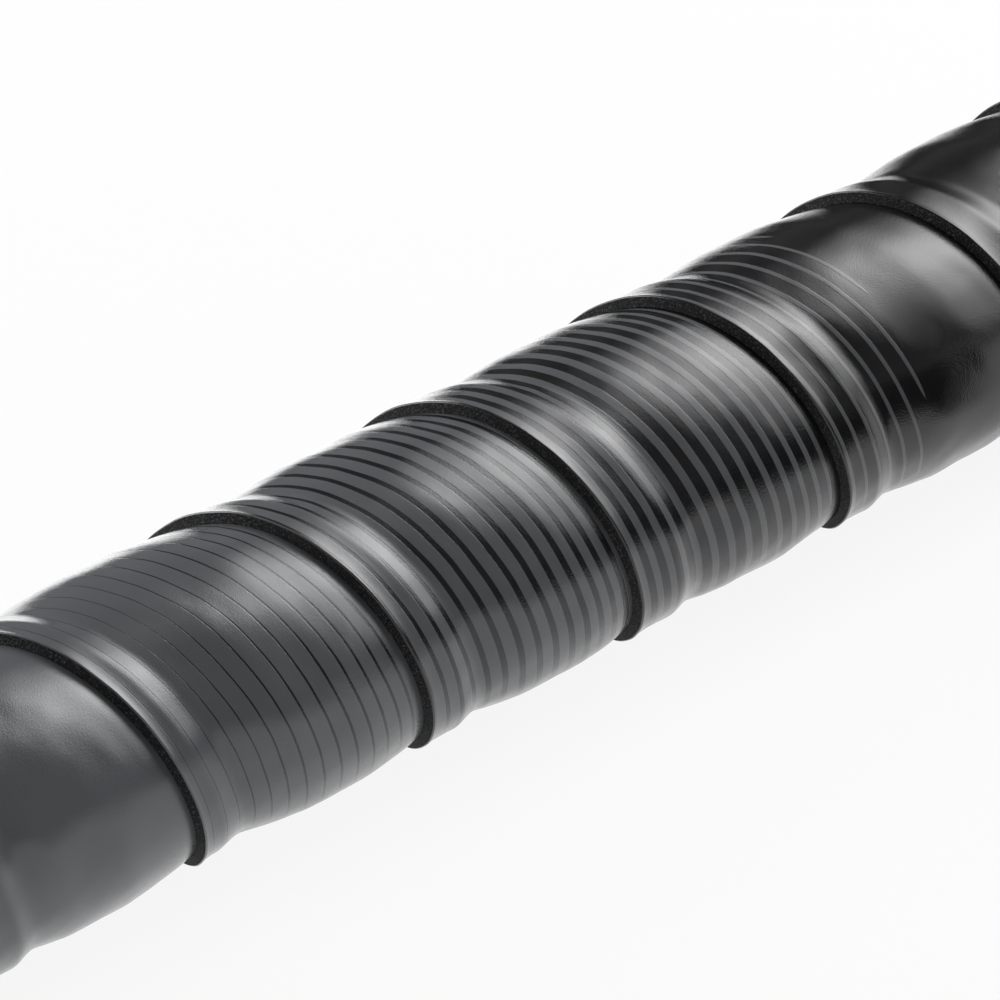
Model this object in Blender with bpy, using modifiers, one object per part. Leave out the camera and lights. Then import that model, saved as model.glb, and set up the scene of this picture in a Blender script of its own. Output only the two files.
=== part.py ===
# Padded handlebar tape, wound in overlapping turns around a straight stretch of bar.
# Metres, +Z up. The bar's axis lies along X, and the origin is under the middle of the winding.

from math import atan, ceil, cos, pi, radians, sqrt, tau

import bmesh
import bpy
import numpy as np

# The bar that the tape is wound on, and the stretch that it covers
BAR_DIAMETER = 0.0238
BORE_CLEARANCE = 0.0001
WOUND_LENGTH = 0.165

# The tape, measured flat and across its width
TAPE_WIDTH = 0.03133
TAPE_THICKNESS = 0.0026
EDGE_THICKNESS = 0.00085
BEVEL_WIDTH = 0.0124
BEVEL_POWER = 1.25

# How each turn lies on the one before it, measured along the bar
OVERLAP = 0.0058
TURN_GAP = 0.00005
OVERLAP_SQUEEZE = 0.00015
DRAPE_LEAD = 0.0018
DRAPE_RUN = 0.0034
SEAT_RUN = 0.0012
LAP_EDGE_AT_TOP = -0.0056

# The cut edge of the foam, and the thin lip of the skin above it
FOAM_SLANT = 0.0005
LIP_HEIGHT = 0.00015
LIP_WIDTH = 0.0006

# The soft winding settles a little where it rests
FLAT_SPOT_DEPTH = 0.0004

# How finely the winding is divided
STEPS_PER_TURN = 28
OVERLAP_POINTS = 5
LIP_POINTS = 3
RIDGE_POINTS = 3
DRAPE_POINTS = 5
BEVEL_POINTS = 4
CROWN_POINTS = 3

SKIN_COLOR = (0.012, 0.012, 0.013, 1)
SKIN_ROUGHNESS = 0.38

BORE_RADIUS = BAR_DIAMETER / 2 + BORE_CLEARANCE


def turn_pitch():
    # A strip laid at an angle covers more of the bar than its own width. The pitch is what one
    # turn covers less the overlap, and it sets the angle, so the two are solved together.
    around = tau * (BORE_RADIUS + TAPE_THICKNESS / 2)
    share = 1 - (TAPE_WIDTH / around) ** 2
    return (sqrt(OVERLAP**2 - share * (OVERLAP**2 - TAPE_WIDTH**2)) - OVERLAP) / share


PITCH = turn_pitch()
ALONG_BAR = 1 / cos(atan(PITCH / (tau * (BORE_RADIUS + TAPE_THICKNESS / 2))))
TAPE_SPAN = PITCH + OVERLAP
BEVEL_SPAN = BEVEL_WIDTH * ALONG_BAR


def tape_depth(inset):
    # The tape thins towards its edges in a soft curve. The inset is taken from the nearer edge.
    share = np.clip(inset / BEVEL_SPAN, 0, 1)
    rise = 1 - (1 - share) ** BEVEL_POWER
    return EDGE_THICKNESS + (TAPE_THICKNESS - EDGE_THICKNESS) * rise


def covered_depth(across):
    # Depth of the covered edge under a turn, with the fine gap between the two
    return tape_depth(np.maximum(OVERLAP - across, 0)) + TURN_GAP


def outer_radius(across):
    # A turn rides on the covered edge, a little squeezed by the pull of winding, and drapes off
    # it in an S-curve that starts before the edge and ends past it.
    share = np.clip((across - OVERLAP + DRAPE_LEAD) / DRAPE_RUN, 0, 1)
    lift = covered_depth(across) * (1 - share**2 * (3 - 2 * share))
    squeeze = OVERLAP_SQUEEZE * np.sin(pi * np.clip(across / OVERLAP, 0, 1))
    lip = LIP_HEIGHT * np.exp(-((across / LIP_WIDTH) ** 2))
    own = tape_depth(np.minimum(across, TAPE_SPAN - across))
    return BORE_RADIUS + own + lift - squeeze + lip


def tape_section():
    # Points as (radius, distance along the bar from the upper edge), down the outer side and
    # back along the underside. Both sides of an overlap share one spacing, so the gap is even.
    overlap = np.linspace(-FOAM_SLANT, OVERLAP, OVERLAP_POINTS)
    drape = OVERLAP - DRAPE_LEAD
    outer = np.concatenate(
        [
            np.linspace(0, LIP_WIDTH * 2, LIP_POINTS),
            np.linspace(LIP_WIDTH * 2, drape, RIDGE_POINTS),
            np.linspace(drape, drape + DRAPE_RUN, DRAPE_POINTS),
            np.linspace(drape + DRAPE_RUN, BEVEL_SPAN, BEVEL_POINTS),
            np.linspace(BEVEL_SPAN, TAPE_SPAN - BEVEL_SPAN, CROWN_POINTS),
            np.linspace(TAPE_SPAN - BEVEL_SPAN, PITCH - FOAM_SLANT, BEVEL_POINTS),
            PITCH + overlap,
        ]
    )
    outer = np.unique(np.round(outer, 7))[::-1]
    under = BORE_RADIUS + covered_depth(overlap)
    section = list(zip(outer_radius(outer), outer, strict=True))
    section += list(zip(under, overlap, strict=True))
    section += [(BORE_RADIUS, OVERLAP + SEAT_RUN), (BORE_RADIUS, TAPE_SPAN)]
    return section


# The top of the lip is the widest part of the winding.
OUTER_RADIUS = float(outer_radius(np.float64(0)))
AXIS_HEIGHT = OUTER_RADIUS - FLAT_SPOT_DEPTH


def new_collection(name):
    collection = bpy.data.collections.new(name)
    bpy.context.scene.collection.children.link(collection)
    return collection


def new_object(name, bm, collection):
    mesh = bpy.data.meshes.new(name)
    bm.to_mesh(mesh)
    bm.free()
    obj = bpy.data.objects.new(name, mesh)
    collection.objects.link(obj)
    return obj


def skin_material():
    material = bpy.data.materials.new("tape_skin")
    material.use_nodes = True
    shader = material.node_tree.nodes["Principled BSDF"]
    shader.inputs["Base Color"].default_value = SKIN_COLOR
    shader.inputs["Roughness"].default_value = SKIN_ROUGHNESS
    return material


def section_profile(collection, start):
    # The closed outline of the tape, standing beside the axis at the winding's first turn
    bm = bmesh.new()
    points = [bm.verts.new((radius, 0, start + across)) for radius, across in tape_section()]
    for point, following in zip(points, points[1:] + points[:1], strict=True):
        bm.edges.new((point, following))
    return new_object("wound_tape", bm, collection)


def wind(obj, turns):
    # The outline is carried round the axis and along it, and both ends of the strip are closed.
    screw = obj.modifiers.new("turns", "SCREW")
    screw.axis = "Z"
    screw.angle = tau
    screw.screw_offset = PITCH
    screw.iterations = turns
    screw.steps = STEPS_PER_TURN
    screw.render_steps = STEPS_PER_TURN
    screw.use_smooth_shade = True
    bpy.context.view_layer.update()
    evaluated = obj.evaluated_get(bpy.context.evaluated_depsgraph_get())
    wound = bpy.data.meshes.new_from_object(evaluated)
    obj.modifiers.clear()
    bm = bmesh.new()
    bm.from_mesh(wound)
    open_edges = [edge for edge in bm.edges if edge.is_boundary]
    bmesh.ops.holes_fill(bm, edges=open_edges, sides=0)
    bmesh.ops.recalc_face_normals(bm, faces=bm.faces)
    bm.to_mesh(wound)
    bm.free()
    obj.data = wound


def trim_block(collection):
    # The square ends of the winding, and the level that its flat spot rests on
    bm = bmesh.new()
    bmesh.ops.create_cube(bm, size=1)
    height = 3 * OUTER_RADIUS
    bmesh.ops.scale(bm, vec=(WOUND_LENGTH, 3 * OUTER_RADIUS, height), verts=bm.verts)
    bmesh.ops.translate(bm, vec=(0, 0, height / 2), verts=bm.verts)
    block = new_object("trim_block", bm, collection)
    block.display_type = "WIRE"
    block.hide_render = True
    return block


def wound_tape(parts, cutters):
    # The strip starts and ends past the square ends, where the block trims it. The axis is
    # turned from Z to X, so the profile starts at the bottom, half a turn before the top.
    reach = WOUND_LENGTH / 2 + TAPE_SPAN
    bottom_edge = LAP_EDGE_AT_TOP - PITCH / 2
    start = bottom_edge - PITCH * ceil((reach + bottom_edge) / PITCH)
    turns = ceil((WOUND_LENGTH / 2 + FOAM_SLANT - start) / PITCH)
    tape = section_profile(parts, start)
    wind(tape, turns)
    tape.rotation_euler = (0, pi / 2, 0)
    tape.location = (0, 0, AXIS_HEIGHT)
    trim = tape.modifiers.new("trim", "BOOLEAN")
    trim.operation = "INTERSECT"
    trim.solver = "EXACT"
    trim.object = trim_block(cutters)
    tape.data.materials.append(skin_material())
    tape.data.shade_smooth()
    tape.data.set_sharp_from_angle(angle=radians(35))
    return tape


for old in list(bpy.data.objects):
    bpy.data.objects.remove(old)

wound_tape(new_collection("wound_handlebar_tape"), new_collection("cutters"))
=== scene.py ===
from math import atan, cos, pi, radians, sin, sqrt, tau

import bmesh
import bpy
import numpy as np
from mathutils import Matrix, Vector


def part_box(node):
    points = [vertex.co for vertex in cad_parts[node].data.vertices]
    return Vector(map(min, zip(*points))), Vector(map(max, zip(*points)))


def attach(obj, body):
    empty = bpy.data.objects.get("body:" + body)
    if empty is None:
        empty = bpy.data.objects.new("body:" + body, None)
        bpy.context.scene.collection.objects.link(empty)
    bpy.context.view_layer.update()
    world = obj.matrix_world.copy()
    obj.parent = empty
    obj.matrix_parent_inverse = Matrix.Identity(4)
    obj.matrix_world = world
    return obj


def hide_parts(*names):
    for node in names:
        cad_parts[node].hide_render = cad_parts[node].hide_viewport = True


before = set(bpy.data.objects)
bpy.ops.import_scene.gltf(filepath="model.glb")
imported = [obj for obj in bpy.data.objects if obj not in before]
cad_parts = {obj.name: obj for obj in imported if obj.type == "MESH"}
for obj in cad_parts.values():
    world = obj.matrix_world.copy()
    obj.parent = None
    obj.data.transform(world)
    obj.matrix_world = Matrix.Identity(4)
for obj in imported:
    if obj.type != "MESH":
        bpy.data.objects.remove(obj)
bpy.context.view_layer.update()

# Padded handlebar tape, wound round a straight stretch of bar. Metres, the bar's axis along X.
# The strip is one surface with two parameters: how many turns along, and how far across.

print("frame loaded")

winding = {
    "boreRadius": 0.0120,
    "thickness": 0.0026,
    "edgeThickness": 0.00085,
    "tapeWidth": 0.03133,
    "bevelWidth": 0.0124,         # the strip thins towards both edges over this width
    "bevelPower": 1.25,
    "overlap": 0.0058,
    "turnGap": 0.00005,
    "squeeze": 0.00015,           # how far the pull of winding flattens the covered edge
    "drapeLead": 0.0018,          # the fall off the covered edge starts this far before it
    "drapeRun": 0.0034,
    "seatRun": 0.0012,            # the underside comes down to the bore over this length
    "foamSlant": 0.0005,
    "foamBelly": 0.00005,
    "lipHeight": 0.00015,
    "lipWidth": 0.00045,
    "lipRound": 0.00005,
    "pressDepth": 0.00010,        # how far each turn's edge presses into the turn under it
    "pressWidth": 0.0009,
    "lapEdgeAtTop": -0.0056,      # x of the third visible lap's edge on top of the winding
    "topTurn": 2.1185,            # that edge's place along the strip, counted in turns
    "firstTurn": -2.1,
    "lastTurn": 5.6,
    "flatSoftness": 0.0001,       # how softly the flat spot blends into the round
    "sharpAngle": 50,             # degrees: edges sharper than this stay sharp in the shading
}

# How finely the strip is divided, along it and round its section
fineness = {
    "stepsPerTurn": 120,
    "hidden": 6,                  # the skin under the next turn
    "crown": 25,
    "ridge": 23,
    "lip": 8,
    "round": 6,
    "roundOnSkin": 4,             # how many of the steps round the lip are still skin
    "foam": 6,
    "covering": 8,                # the underside over the covered edge
    "knee": 5,
    "seat": 5,
    "ridgeFrom": 0.009,           # where the finer steps of the ridge begin, across the strip
    "lipFrom": 0.0012,
    "kneeEnd": 1.25,              # where the underside has come down, in widths of the overlap
}

# Small faults of winding by hand
handWork = {
    "wanderMean": 0.0001,
    "wanderReach": 0.0005,
    "wanderPeriod": 3.0,          # turns
    "wanderPeak": 1.25,
    "slipReach": 0.0020,          # one turn was laid further back than the rest
    "slipTurn": -0.8,
    "slipLength": 0.45,
    "lumpSeed": 11,
    "lumpCount": 40,
    "lumpShortest": 0.0022,
    "lumpLongest": 0.012,
    "lumpSlope": 0.019,
    "lumpSlopeCount": 6,          # that slope is the slope of this many waves together
    "lumpDrum": 1.15,             # the dents are laid out on a drum this many bore radii in radius
    "lumpFadeLead": 0.0035,       # they begin to fade this far before the next turn's edge
    "lumpFadeRun": 0.0025,
}

# Printed stripes, counted across the strip by their gray centres
stripes = {
    "firstCentre": 0.0004,
    "spacing": 0.001908,
    "squeeze": 0.00033,           # stripes crowd on the ridge and spread over the crown
    "squeezeLength": 0.0248,
    "driftReach": 0.00165,        # how far the print runs off the edge of the earliest turn
    "driftKeep": 0.4,             # share of that which each further turn keeps
    "driftTurn": 0.25,
    "driftMost": 2,               # it never grows past this many times its reach
}


def smoothStep(share):
    share = np.clip(share, 0, 1)
    return share * share * (3 - 2 * share)


# One turn covers the strip's slanted width less the overlap, and that pitch sets the slant.
aroundMiddle = tau * (winding["boreRadius"] + winding["thickness"] / 2)
lapShare = 1 - (winding["tapeWidth"] / aroundMiddle) ** 2
lapRoot = sqrt(winding["overlap"] ** 2 - lapShare * (winding["overlap"] ** 2 - winding["tapeWidth"] ** 2))
pitch = (lapRoot - winding["overlap"]) / lapShare
tapeSpan = pitch + winding["overlap"]
bevelSpan = winding["bevelWidth"] / cos(atan(pitch / aroundMiddle))

boxLow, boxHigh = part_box("wound_tape")
halfLength = (boxHigh[0] - boxLow[0]) / 2
outerRadius = (boxHigh[1] - boxLow[1]) / 2
axisHeight = boxHigh[2] - outerRadius


def tapeDepth(inset):
    # Thickness at a distance from the nearer edge: it rises in a soft curve over the bevel.
    rise = 1 - (1 - np.clip(inset / bevelSpan, 0, 1)) ** winding["bevelPower"]
    return winding["edgeThickness"] + (winding["thickness"] - winding["edgeThickness"]) * rise


def wander(turn):
    # Sideways fault of the strip: a slow wave, less one dip where a turn was laid further back.
    wave = np.cos(tau * (turn - handWork["wanderPeak"]) / handWork["wanderPeriod"])
    slip = np.exp(-(((turn - handWork["slipTurn"]) / handWork["slipLength"]) ** 2))
    return handWork["wanderMean"] + handWork["wanderReach"] * wave - handWork["slipReach"] * slip


def overlapAt(turn):
    # How much of the turn before lies covered: the set overlap less what this turn strayed past it.
    return winding["overlap"] - wander(turn) + wander(turn - 1)


def lumps(turn, across):
    # Shallow dents: the sum of sine waves in random directions, each as steep as the others.
    rng = np.random.default_rng(handWork["lumpSeed"])
    along = turn * tau * winding["boreRadius"] * handWork["lumpDrum"]
    total = np.zeros(np.broadcast(turn, across).shape)
    for _ in range(handWork["lumpCount"]):
        length = rng.uniform(handWork["lumpShortest"], handWork["lumpLongest"])
        heading, phase = rng.uniform(0, tau, 2)
        wave = np.sin(tau * (along * cos(heading) + across * sin(heading)) / length + phase)
        total += wave * length / tau
    fade = 1 - smoothStep((across - pitch + handWork["lumpFadeLead"]) / handWork["lumpFadeRun"])
    return total * fade * handWork["lumpSlope"] / sqrt(handWork["lumpCount"] / handWork["lumpSlopeCount"])


def pressUnderEdge(turn, across):
    # A bell-shaped dip along the line where the next turn's edge presses on this one
    nextEdge = pitch + wander(turn + 1) - wander(turn) - winding["foamSlant"]
    return winding["pressDepth"] * np.exp(-(((across - nextEdge) / winding["pressWidth"]) ** 2))


def skinRadius(turn, across):
    # Bore, plus the strip's own depth, plus the covered edge's depth under it, which falls away in
    # an S-curve, less half a sine wave of squeeze over that edge, plus the small lip, which dies away
    # from the edge, and the dents, less the dip under the next turn's edge.
    covered = overlapAt(turn)
    below = tapeDepth(np.maximum(covered - across, 0)) + winding["turnGap"]
    lift = below * (1 - smoothStep((across - covered + winding["drapeLead"]) / winding["drapeRun"]))
    squeeze = winding["squeeze"] * np.sin(pi * np.clip(across / covered, 0, 1))
    lip = winding["lipHeight"] * np.exp(-np.maximum(across, 0) / winding["lipWidth"])
    depth = tapeDepth(np.minimum(across, tapeSpan - across))
    dents = lumps(turn, across) - pressUnderEdge(turn, across)
    return winding["boreRadius"] + depth + lift - squeeze + lip + dents


def underRadius(turn, across):
    # Over the covered edge the underside keeps the turn gap to it, and past it comes down to the bore.
    covered = overlapAt(turn)
    over = tapeDepth(np.maximum(covered - across, 0)) + winding["turnGap"]
    return winding["boreRadius"] + over * (1 - smoothStep((across - covered) / winding["seatRun"]))


def stripeNumber(turn, across):
    # Place across the print, in stripes: an even count, bent by one sine wave over the turn's
    # width, and shifted by the drift of the print, which dies away turn by turn.
    drift = stripes["driftReach"] * stripes["driftKeep"] ** (turn - stripes["driftTurn"])
    drift = np.minimum(drift, stripes["driftMost"] * stripes["driftReach"])
    place = across - stripes["firstCentre"] - drift
    bend = stripes["squeeze"] * np.sin(tau * place / stripes["squeezeLength"])
    return (place + bend) / stripes["spacing"]


def onwards(start, end, steps):
    # Even steps from a place that is already there
    return np.linspace(start, end, steps + 1)[1:]


def skinPlaces():
    # Places down the skin, from the hidden edge to just short of the lip, closer where it bends more
    stops = [tapeSpan, pitch, fineness["ridgeFrom"], fineness["lipFrom"]]
    steps = [fineness["hidden"], fineness["crown"], fineness["ridge"]]
    runs = [np.linspace(a, b, n + 1)[:-1] for a, b, n in zip(stops, stops[1:], steps)]
    return np.concatenate([*runs, np.linspace(stops[-1], 2 * winding["lipRound"], fineness["lip"] + 1)])


def undersidePlaces(foot, covered):
    # Places back along the underside: even steps over the covered edge and past it to the knee,
    # counted in widths of the overlap, and then even steps to the hidden edge.
    kneeEnd, last = fineness["kneeEnd"], tapeSpan / winding["overlap"]
    under = np.concatenate([
        onwards(0, 1, fineness["covering"]),
        1 + onwards(0, kneeEnd - 1, fineness["knee"]),
        onwards(kneeEnd, last, fineness["seat"]),
    ])[None, :]
    knee = foot + (covered - foot) * kneeEnd
    seat = (under - kneeEnd) / (last - kneeEnd)
    return np.where(under <= kneeEnd, foot + (covered - foot) * under, knee + (tapeSpan - knee) * seat)


def sectionLoop(turn):
    # The closed outline at each turn as (across, radius): down the skin, round the lip, down the
    # slanted foam edge, and back along the underside.
    skin = skinPlaces()[None, :]
    skinR = skinRadius(turn, skin)
    foot = np.full_like(turn, -winding["foamSlant"])
    footR = underRadius(turn, foot) - winding["pressDepth"]
    cornerR = skinRadius(turn, np.zeros_like(turn))
    # The lip is a quadratic curve from a point on the skin, past the corner, to one on the foam.
    start = np.full_like(turn, 2 * winding["lipRound"])
    startR = skinR[:, -1:]
    share = 2 * winding["lipRound"] / winding["foamSlant"]
    end, endR = foot * share, cornerR + (footR - cornerR) * share
    bend = onwards(0, 1, fineness["round"])[None, :]
    lipX = (1 - bend) ** 2 * start + bend**2 * end
    lipR = (1 - bend) ** 2 * startR + 2 * bend * (1 - bend) * cornerR + bend**2 * endR
    # The foam edge bellies slightly inwards between the lip and its foot.
    down = onwards(0, 1, fineness["foam"])[None, :]
    foamX = end + (foot - end) * down
    foamR = endR + (footR - endR) * down - winding["foamBelly"] * np.sin(pi * down)
    underX = undersidePlaces(foot, overlapAt(turn))
    underR = underRadius(turn, underX)
    across = np.concatenate([np.broadcast_to(skin, skinR.shape), lipX, foamX, underX], axis=1)
    radius = np.concatenate([skinR, lipR, foamR, underR], axis=1)
    return across, radius, skin.shape[1] + fineness["roundOnSkin"]


def settle(height):
    # Whatever would reach below the surface it rests on is pressed level, through a soft knee.
    soft = winding["flatSoftness"]
    return 0.5 * (height + np.sqrt(height**2 + soft**2))


def gridMesh(name, points, uv, skinColumns):
    # Rows are steps along the strip and columns run round its closed section.
    rows, columns = points.shape[:2]
    index = np.arange(rows * columns).reshape(rows, columns)
    beside = np.roll(index, -1, axis=1)
    quads = np.stack([index[:-1], index[1:], beside[1:], beside[:-1]], -1).reshape(-1, 4)
    isFoam = np.tile(np.arange(columns) >= skinColumns, rows - 1)
    mesh = bpy.data.meshes.new(name)
    mesh.vertices.add(rows * columns)
    mesh.vertices.foreach_set("co", points.ravel())
    mesh.loops.add(quads.size)
    mesh.loops.foreach_set("vertex_index", quads.ravel())
    mesh.polygons.add(len(quads))
    mesh.polygons.foreach_set("loop_start", np.arange(len(quads)) * 4)
    mesh.polygons.foreach_set("material_index", isFoam.astype(int))
    mesh.update(calc_edges=True)
    layer = mesh.uv_layers.new(name="tapeFlat")
    layer.data.foreach_set("uv", uv.reshape(-1, 2)[quads.ravel()].astype(np.float32).ravel())
    mesh.validate()
    return mesh


def squareEnds(mesh):
    # Both ends are cut square to the bar, and each cut is closed by one flat face of foam.
    bm = bmesh.new()
    bm.from_mesh(mesh)
    for side in (-1, 1):
        everything = bm.verts[:] + bm.edges[:] + bm.faces[:]
        bmesh.ops.bisect_plane(bm, geom=everything, dist=1e-8, plane_co=(side * halfLength, 0, 0),
                               plane_no=(side, 0, 0), clear_outer=True)
    openEdges = [edge for edge in bm.edges if edge.is_boundary]
    caps = bmesh.ops.holes_fill(bm, edges=openEdges, sides=0)["faces"]
    for face in caps:
        face.material_index = 1
    bmesh.ops.triangulate(bm, faces=caps)
    bmesh.ops.recalc_face_normals(bm, faces=bm.faces)
    bm.to_mesh(mesh)
    bm.free()


def woundTape():
    count = int((winding["lastTurn"] - winding["firstTurn"]) * fineness["stepsPerTurn"]) + 1
    turn = np.linspace(winding["firstTurn"], winding["lastTurn"], count)[:, None]
    across, radius, skinColumns = sectionLoop(turn)
    angle = tau * (turn - winding["topTurn"])
    x = winding["lapEdgeAtTop"] + pitch * (turn - winding["topTurn"]) + wander(turn) + across
    y = -radius * np.sin(angle)
    z = settle(axisHeight + radius * np.cos(angle))
    points = np.stack([x, y, z], -1)
    uv = np.stack([np.broadcast_to(turn, across.shape), stripeNumber(turn, across)], -1)
    mesh = gridMesh("woundTapeSurface", points, uv, skinColumns)
    squareEnds(mesh)
    mesh.shade_smooth()
    mesh.set_sharp_from_angle(angle=radians(winding["sharpAngle"]))
    piece = bpy.data.objects.new("woundTapeSurface", mesh)
    bpy.context.scene.collection.objects.link(piece)
    return piece


class Signal:
    # One shader socket that can be used in Python expressions. Without a socket it only makes nodes.

    def __init__(self, tree, socket=None):
        self.tree = tree
        self.socket = socket

    def node(self, kind, settings=None, **values):
        made = self.tree.nodes.new(kind)
        for key, value in (settings or {}).items():
            setattr(made, key, value)
        for key, value in values.items():
            target = made.inputs[int(key[1:])] if key[0] == "_" else made.inputs[key]
            if isinstance(value, Signal):
                self.tree.links.new(value.socket, target)
            else:
                target.default_value = value
        return made

    def read(self, output, kind, settings=None, **values):
        return Signal(self.tree, self.node(kind, settings, **values).outputs[output])

    def into(self, node, socket):
        self.tree.links.new(self.socket, node.inputs[socket])

    def math(self, operation, *values, clamp=False):
        settings = {"operation": operation, "use_clamp": clamp}
        inputs = {f"_{place}": value for place, value in enumerate(values)}
        return self.read(0, "ShaderNodeMath", settings, **inputs)

    def __add__(self, other):
        return self.math("ADD", self, other)

    def __radd__(self, other):
        return self.math("ADD", other, self)

    def __sub__(self, other):
        return self.math("SUBTRACT", self, other)

    def __rsub__(self, other):
        return self.math("SUBTRACT", other, self)

    def __mul__(self, other):
        return self.math("MULTIPLY", self, other)

    def __rmul__(self, other):
        return self.math("MULTIPLY", other, self)

    def __truediv__(self, other):
        return self.math("DIVIDE", self, other)

    def squareRoot(self):
        return self.math("POWER", self, 0.5)

    def exponential(self):
        return self.math("EXPONENT", self)

    def absolute(self):
        return self.math("ABSOLUTE", self)

    def floor(self):
        return self.math("FLOOR", self)

    def clamped(self):
        return self.math("ADD", self, 0.0, clamp=True)

    def atLeast(self, lowest):
        return self.math("MAXIMUM", self, lowest)

    def stepUp(self, low, high):
        # 0 below low, 1 above high and a soft S-curve between
        share = (self - low) / (high - low)
        return self.read(0, "ShaderNodeMapRange", {"interpolation_type": "SMOOTHSTEP"}, Value=share)

    def parts(self):
        split = self.node("ShaderNodeSeparateXYZ", None, Vector=self)
        return [Signal(self.tree, output) for output in split.outputs]

    def scaled(self, scales):
        return self.read(0, "ShaderNodeVectorMath", {"operation": "MULTIPLY"}, _0=self, _1=scales)

    def noise(self, scale, detail=2.0, roughness=0.5):
        return self.read("Fac", "ShaderNodeTexNoise", None, Vector=self, Scale=scale, Detail=detail,
                         Roughness=roughness)

    def colorBetween(self, first, second):
        # The first colour where the signal is 0 and the second where it is 1
        return self.read(2, "ShaderNodeMix", {"data_type": "RGBA"}, _0=self, _6=first, _7=second)

    def asHeight(self, strength=1.0):
        return self.read(0, "ShaderNodeBump", None, Height=self, Distance=1.0, Strength=strength)


def newMaterial(name, sockets):
    # A material with these fixed values on its shader's own sockets
    material = bpy.data.materials.new(name)
    material.use_nodes = True
    shader = material.node_tree.nodes["Principled BSDF"]
    for socket, value in sockets.items():
        shader.inputs[socket].default_value = value
    return material, shader


skinLook = {
    "black": (0.0085, 0.0085, 0.0092, 1),
    "gray": (0.084, 0.088, 0.094, 1),
    "roughness": 0.12,
    "grayRoughness": 0.15,
    "refraction": 1.5,
    "darkShareStart": 0.04,       # dark share of each stripe at the first visible edge
    "darkSharePerTurn": 0.235,
    "darkSharePerStripe": 0.012,
    "darkShareStripe": 6.5,       # the stripe that has just the share of its turn
    "darkShareLeast": 0.035,
    "darkLinesBegin": -0.45,      # where the first dark line starts, in turns
    "darkLinesStagger": 0.03,
    "darkLinesFade": 0.04,
    "plainMargin": 0.1,           # gray stripes overlap by this where no dark line has begun
    "grayLinesEnd": 4.12,         # where the gray line nearest the edge would end, in turns
    "grayLinesStagger": 0.13,
    "grayLinesFade": 0.01,
    "taperLength": 0.03,
    "printEdge": 0.022,           # softness of a stripe's edge, in stripes
    "printHeight": 0.000013,
    "grainScale": 6200,
    "grainHeight": 0.000026,
    "grainRoughness": 0.6,        # how much of the finest detail grain and streaks have
    "grayGrain": 0.75,            # how much of the grain the print lets through
    "streakScale": (150, 11, 1),  # grain drawn out along the winding, per turn and per stripe
    "streakHeight": 0.0000015,
    "pebbleScale": 800,
    "pebbleHeight": 0.000004,
    "cloudScale": 260,
    "cloudDetail": 3.0,
    "unevenness": 0.10,           # how much the gloss varies from spot to spot
}


def skinMaterial():
    material, shader = newMaterial("tapeSkin", {"IOR": skinLook["refraction"]})
    start = Signal(material.node_tree)
    flat = start.read("UV", "ShaderNodeUVMap", {"uv_map": "tapeFlat"})
    place = start.read("Object", "ShaderNodeTexCoord")
    turn, count = flat.parts()[:2]

    # Each gray line is numbered, and its half width follows the turn until its tapered end.
    number = (count + 0.5).floor()
    offset = (count - number).absolute()
    dark = skinLook["darkShareStart"] + skinLook["darkSharePerTurn"] * turn
    dark = (dark + skinLook["darkSharePerStripe"] * (number - skinLook["darkShareStripe"])).clamped()
    dark = dark.atLeast(skinLook["darkShareLeast"])
    begun = turn - skinLook["darkLinesBegin"] - skinLook["darkLinesStagger"] * number
    begun = begun.stepUp(0, skinLook["darkLinesFade"])
    left = skinLook["grayLinesEnd"] - skinLook["grayLinesStagger"] * number - turn
    taper = (left / skinLook["taperLength"]).clamped().squareRoot()
    half = 0.5 * (1 - dark * begun) * taper
    half = half + (1 - begun) * skinLook["plainMargin"]
    edge = skinLook["printEdge"]
    gray = (1 - (offset - half).stepUp(-edge, edge)) * left.stepUp(0, skinLook["grayLinesFade"])
    gray.colorBetween(skinLook["black"], skinLook["gray"]).into(shader, "Base Color")

    cloud = place.noise(skinLook["cloudScale"], skinLook["cloudDetail"])
    streak = flat.scaled(skinLook["streakScale"]).noise(1.0, roughness=skinLook["grainRoughness"])
    rough = skinLook["roughness"] + (skinLook["grayRoughness"] - skinLook["roughness"]) * gray
    uneven = skinLook["unevenness"] * (0.5 * cloud + 0.5 * streak - 0.5)
    (rough + uneven).into(shader, "Roughness")

    grain = place.noise(skinLook["grainScale"], roughness=skinLook["grainRoughness"])
    grain = grain * skinLook["grainHeight"] + streak * skinLook["streakHeight"]
    grain = grain * (1 - (1 - skinLook["grayGrain"]) * gray)
    pebble = place.noise(skinLook["pebbleScale"]) * skinLook["pebbleHeight"]
    (grain + pebble + gray * skinLook["printHeight"]).asHeight().into(shader, "Normal")
    return material


foamLook = {
    "dark": (0.013, 0.013, 0.0135, 1),
    "light": (0.075, 0.075, 0.077, 1),
    "gloss": 0.12,
    "cellScale": 4600,
    "cellHeight": 0.00012,
    "cellStrength": 0.8,
    "speckScale": 5400,
    "speckDetail": 1.0,
    "speckFrom": 0.48,
    "speckTo": 0.80,
    "roughness": 0.75,
}


def foamMaterial():
    material, shader = newMaterial("tapeFoam", {
        "Roughness": foamLook["roughness"],
        "Specular IOR Level": foamLook["gloss"],
    })
    place = Signal(material.node_tree).read("Object", "ShaderNodeTexCoord")
    speck = place.noise(foamLook["speckScale"], foamLook["speckDetail"])
    speck = speck.stepUp(foamLook["speckFrom"], foamLook["speckTo"])
    speck.colorBetween(foamLook["dark"], foamLook["light"]).into(shader, "Base Color")
    cells = place.read("Distance", "ShaderNodeTexVoronoi", {"feature": "F1"}, Vector=place,
                       Scale=foamLook["cellScale"])
    (cells * foamLook["cellHeight"]).asHeight(foamLook["cellStrength"]).into(shader, "Normal")
    return material


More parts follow.
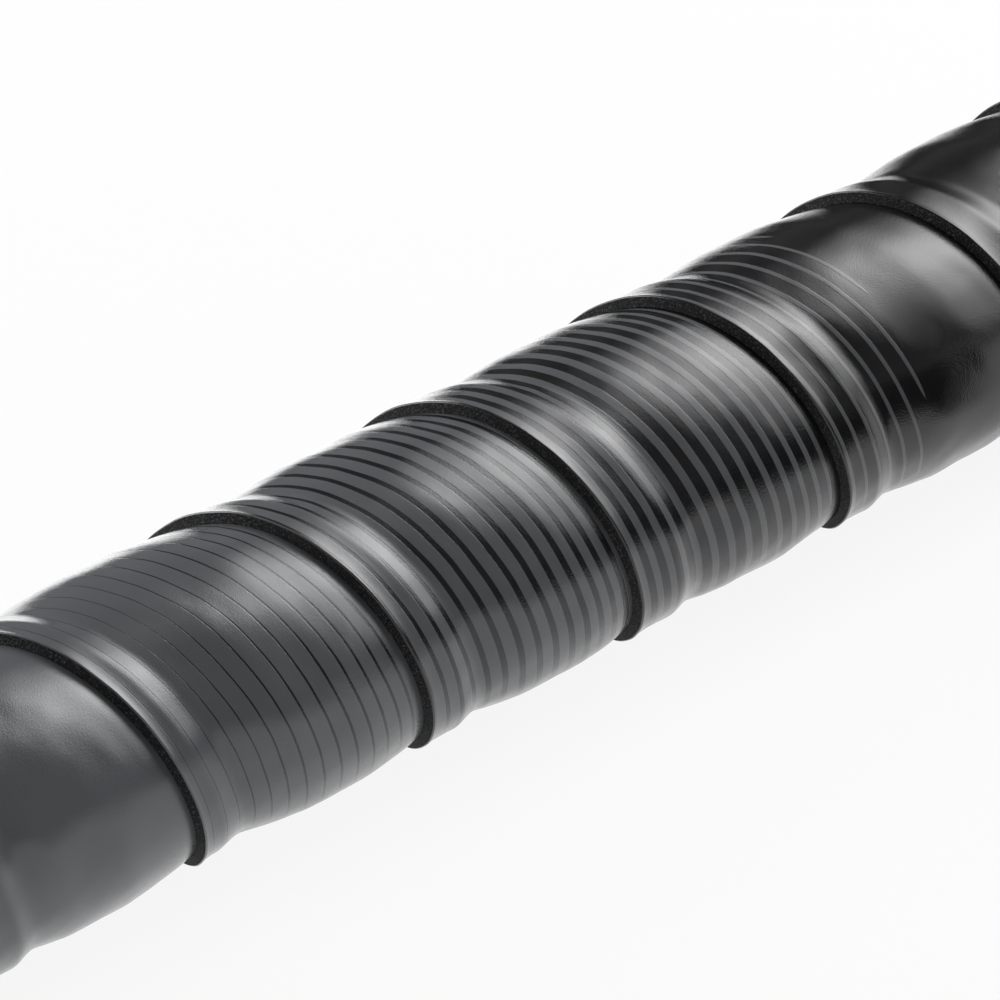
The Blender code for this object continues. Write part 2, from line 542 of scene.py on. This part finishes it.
tape = woundTape()
tape.data.materials.append(skinMaterial())
tape.data.materials.append(foamMaterial())
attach(tape, "root")
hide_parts("wound_tape")
print("tape made,", len(tape.data.polygons), "faces")

# Floor, light and camera

studio = {
    "floorRadius": 3.0,
    "floorSides": 96,
    "floorColor": (0.07, 0.07, 0.07, 1),
    "floorGlow": 0.90,
    "roomGlow": 0.15,
    "ceilingGlow": 0.7,
    "ceilingFrom": 0.90,          # sine of the height above the floor where the ceiling starts
    "ceilingFull": 0.97,
    "backdrop": 0.94,
    "boxBearing": -4.0,           # degrees from +X towards +Y
    "boxHeight": 33.0,            # degrees above the floor
    "boxDistance": 0.55,
    "boxHalfWidth": 0.55,
    "boxHalfDepth": 0.335,
    "boxRadiance": 8.3,           # at its brightest
    "glowCentre": (0.015, 0.058), # on the box: sideways towards +Y, and upwards
    "glowReach": (0.150, 0.175),
    "sideCentre": (-0.290, -0.135),
    "sideReach": (0.077, 0.125),
    "sideShare": 0.25,            # strength of the weaker glow low on one side
    "boxFoot": 0.06,              # the lowest strip fades out over this length
    "backBearing": 125.0,         # a second box, behind the tape
    "backHeight": 20.0,
    "backDistance": 0.5,
    "backHalfSize": (0.20, 0.20),
    "backRadiance": 5.6,
    "shineCentre": (0.03, 0.12),  # on the floor behind the tape, seen in its upper rim only
    "shineLift": 0.001,
    "shineReach": (0.06, 0.05),
    "shineHalfSize": (0.16, 0.10),
    "shineBase": 0.40,            # what the shining card adds at its edges, as a share of its middle
    "shineRadiance": 2.9,
    "flagColor": (0.01, 0.01, 0.01, 1),
}

# Low black cards beside and behind the tape, which the picture doesn't show
flags = {
    "flagBeside": {"bearing": -14.0, "distance": 0.063, "sideways": -0.096, "halfWidth": 0.083,
                   "height": 0.0195},
    "flagBehind": {"bearing": 60.7, "distance": 0.153, "sideways": 0.0, "halfWidth": 0.300,
                   "height": 0.040},
}

# Fixed values of a black surface without gloss, which shines white once it is given a strength
dull = {"Base Color": (0, 0, 0, 1), "Specular IOR Level": 0.0, "Emission Color": (1, 1, 1, 1)}


def pourFloor():
    bm = bmesh.new()
    bmesh.ops.create_circle(bm, cap_ends=True, segments=studio["floorSides"],
                            radius=studio["floorRadius"])
    mesh = bpy.data.meshes.new("floor")
    bm.to_mesh(mesh)
    bm.free()
    floor = bpy.data.objects.new("floor", mesh)
    bpy.context.scene.collection.objects.link(floor)
    values = {"Base Color": studio["floorColor"], "Roughness": 1.0, "Emission Strength": studio["floorGlow"]}
    mesh.materials.append(newMaterial("floorWhite", {**dull, **values})[0])


def standCard(name, away, distance, halfWidth, halfHeight, material):
    # A flat card that faces the tape from a direction. The camera doesn't see it.
    corners = [(-halfWidth, -halfHeight, 0), (halfWidth, -halfHeight, 0),
               (halfWidth, halfHeight, 0), (-halfWidth, halfHeight, 0)]
    mesh = bpy.data.meshes.new(name)
    mesh.from_pydata(corners, [], [(0, 3, 2, 1)])
    mesh.materials.append(material)
    card = bpy.data.objects.new(name, mesh)
    card.location = away * distance
    card.rotation_euler = away.to_track_quat("Z", "Y").to_euler()
    card.visible_camera = False
    bpy.context.scene.collection.objects.link(card)
    return card


def onlyReflected(card):
    # It shows in glossy surfaces and neither lights nor shades anything else.
    card.visible_diffuse = False
    card.visible_shadow = False


def pointing(bearing, height):
    bearing, height = radians(bearing), radians(height)
    return Vector((cos(height) * cos(bearing), cos(height) * sin(bearing), sin(height)))


def bellOf(sideways, upwards, centre, reach):
    # 1 in the middle, falling off as a bell with a reach of its own sideways and upwards
    beside = (sideways - centre[0]) / reach[0]
    above = (upwards - centre[1]) / reach[1]
    return (-0.5 * (beside * beside + above * above)).exponential()


def shining(name, radiance, glowAt):
    # A black surface that shines as strongly as glowAt says for a place on its card
    material, shader = newMaterial(name, {**dull, "Emission Strength": radiance})
    place = Signal(material.node_tree).read("Object", "ShaderNodeTexCoord")
    glow = glowAt(*place.parts()[:2])
    color = glow.read(0, "ShaderNodeCombineColor", None, Red=glow, Green=glow, Blue=glow)
    color.into(shader, "Emission Color")
    return material


def boxGlow(sideways, upwards):
    # A broad glow and a weaker one low on one side, both fading at the box's foot
    main = bellOf(sideways, upwards, studio["glowCentre"], studio["glowReach"])
    side = bellOf(sideways, upwards, studio["sideCentre"], studio["sideReach"])
    foot = upwards.stepUp(-studio["boxHalfDepth"], studio["boxFoot"] - studio["boxHalfDepth"])
    return (main + studio["sideShare"] * side) * foot


def floorShine(sideways, along):
    # An even glow with a bell of the rest of it in the middle
    bell = bellOf(sideways, along, (0, 0), studio["shineReach"])
    return studio["shineBase"] + (1 - studio["shineBase"]) * bell


def hangLight():
    away = pointing(studio["boxBearing"], studio["boxHeight"])
    material = shining("boxGlow", studio["boxRadiance"], boxGlow)
    standCard("softBox", away, studio["boxDistance"], studio["boxHalfWidth"], studio["boxHalfDepth"],
              material)


def hangBackLight():
    # It lights the top of the turns and their foam edges. No side in the picture mirrors it.
    material = newMaterial("backGlow", {**dull, "Emission Strength": studio["backRadiance"]})[0]
    away = pointing(studio["backBearing"], studio["backHeight"])
    standCard("backBox", away, studio["backDistance"], *studio["backHalfSize"], material)


def layShine():
    # A bright card flat on the floor behind the tape, for the white of its upper rim
    material = shining("floorShine", studio["shineRadiance"], floorShine)
    card = standCard("shine", Vector((0, 0, -1)), 0, *studio["shineHalfSize"], material)
    card.location = (*studio["shineCentre"], studio["shineLift"])
    onlyReflected(card)


def standFlags():
    material = newMaterial("flagBlack", {**dull, "Base Color": studio["flagColor"]})[0]
    for name, values in flags.items():
        away = pointing(values["bearing"], 0)
        flag = standCard(name, away, values["distance"], values["halfWidth"], values["height"] / 2,
                         material)
        flag.location += Vector((-away.y, away.x, 0)) * values["sideways"]
        flag.location.z = values["height"] / 2
        flag.visible_shadow = False
    onlyReflected(bpy.data.objects["flagBehind"])


def paintWorld():
    # A dim room under a brighter ceiling for the tape to reflect, and a pale backdrop for the camera
    world = bpy.data.worlds.new("studio")
    world.use_nodes = True
    background = world.node_tree.nodes["Background"]
    start = Signal(world.node_tree)
    seen = start.read("Is Camera Ray", "ShaderNodeLightPath")
    toward = start.read("Generated", "ShaderNodeTexCoord")
    high = toward.parts()[2].stepUp(studio["ceilingFrom"], studio["ceilingFull"])
    room = studio["roomGlow"] + (studio["ceilingGlow"] - studio["roomGlow"]) * high
    (room + (studio["backdrop"] - room) * seen).into(background, "Strength")
    background.inputs["Color"].default_value = (1, 1, 1, 1)
    bpy.context.scene.world = world


lens = {
    "bearing": -42.58,            # degrees, as a view from the front left
    "elevation": 34.15,
    "distance": 0.8476,
    "rise": 0.002824,             # the axis passes a little under the picture's middle
    "aimX": -0.003,
    "focalLength": 324,
    "sensor": 36,
    "farthest": 20,
}


def setCamera():
    bearing, elevation = radians(lens["bearing"]), radians(lens["elevation"])
    back = Vector((sin(bearing) * cos(elevation), -cos(bearing) * cos(elevation), sin(elevation)))
    side = Vector((0, 0, 1)).cross(back).normalized()
    up = back.cross(side)
    data = bpy.data.cameras.new("camera")
    data.lens = lens["focalLength"]
    data.sensor_width = lens["sensor"]
    data.clip_end = lens["farthest"]
    camera = bpy.data.objects.new("camera", data)
    camera.location = Vector((lens["aimX"], 0, axisHeight)) + back * lens["distance"] + up * lens["rise"]
    camera.rotation_euler = back.to_track_quat("Z", "Y").to_euler()
    bpy.context.scene.collection.objects.link(camera)
    bpy.context.scene.camera = camera


pourFloor()
hangLight()
hangBackLight()
layShine()
standFlags()
paintWorld()
setCamera()
bpy.context.scene.view_settings.view_transform = "Standard"
print("studio set")
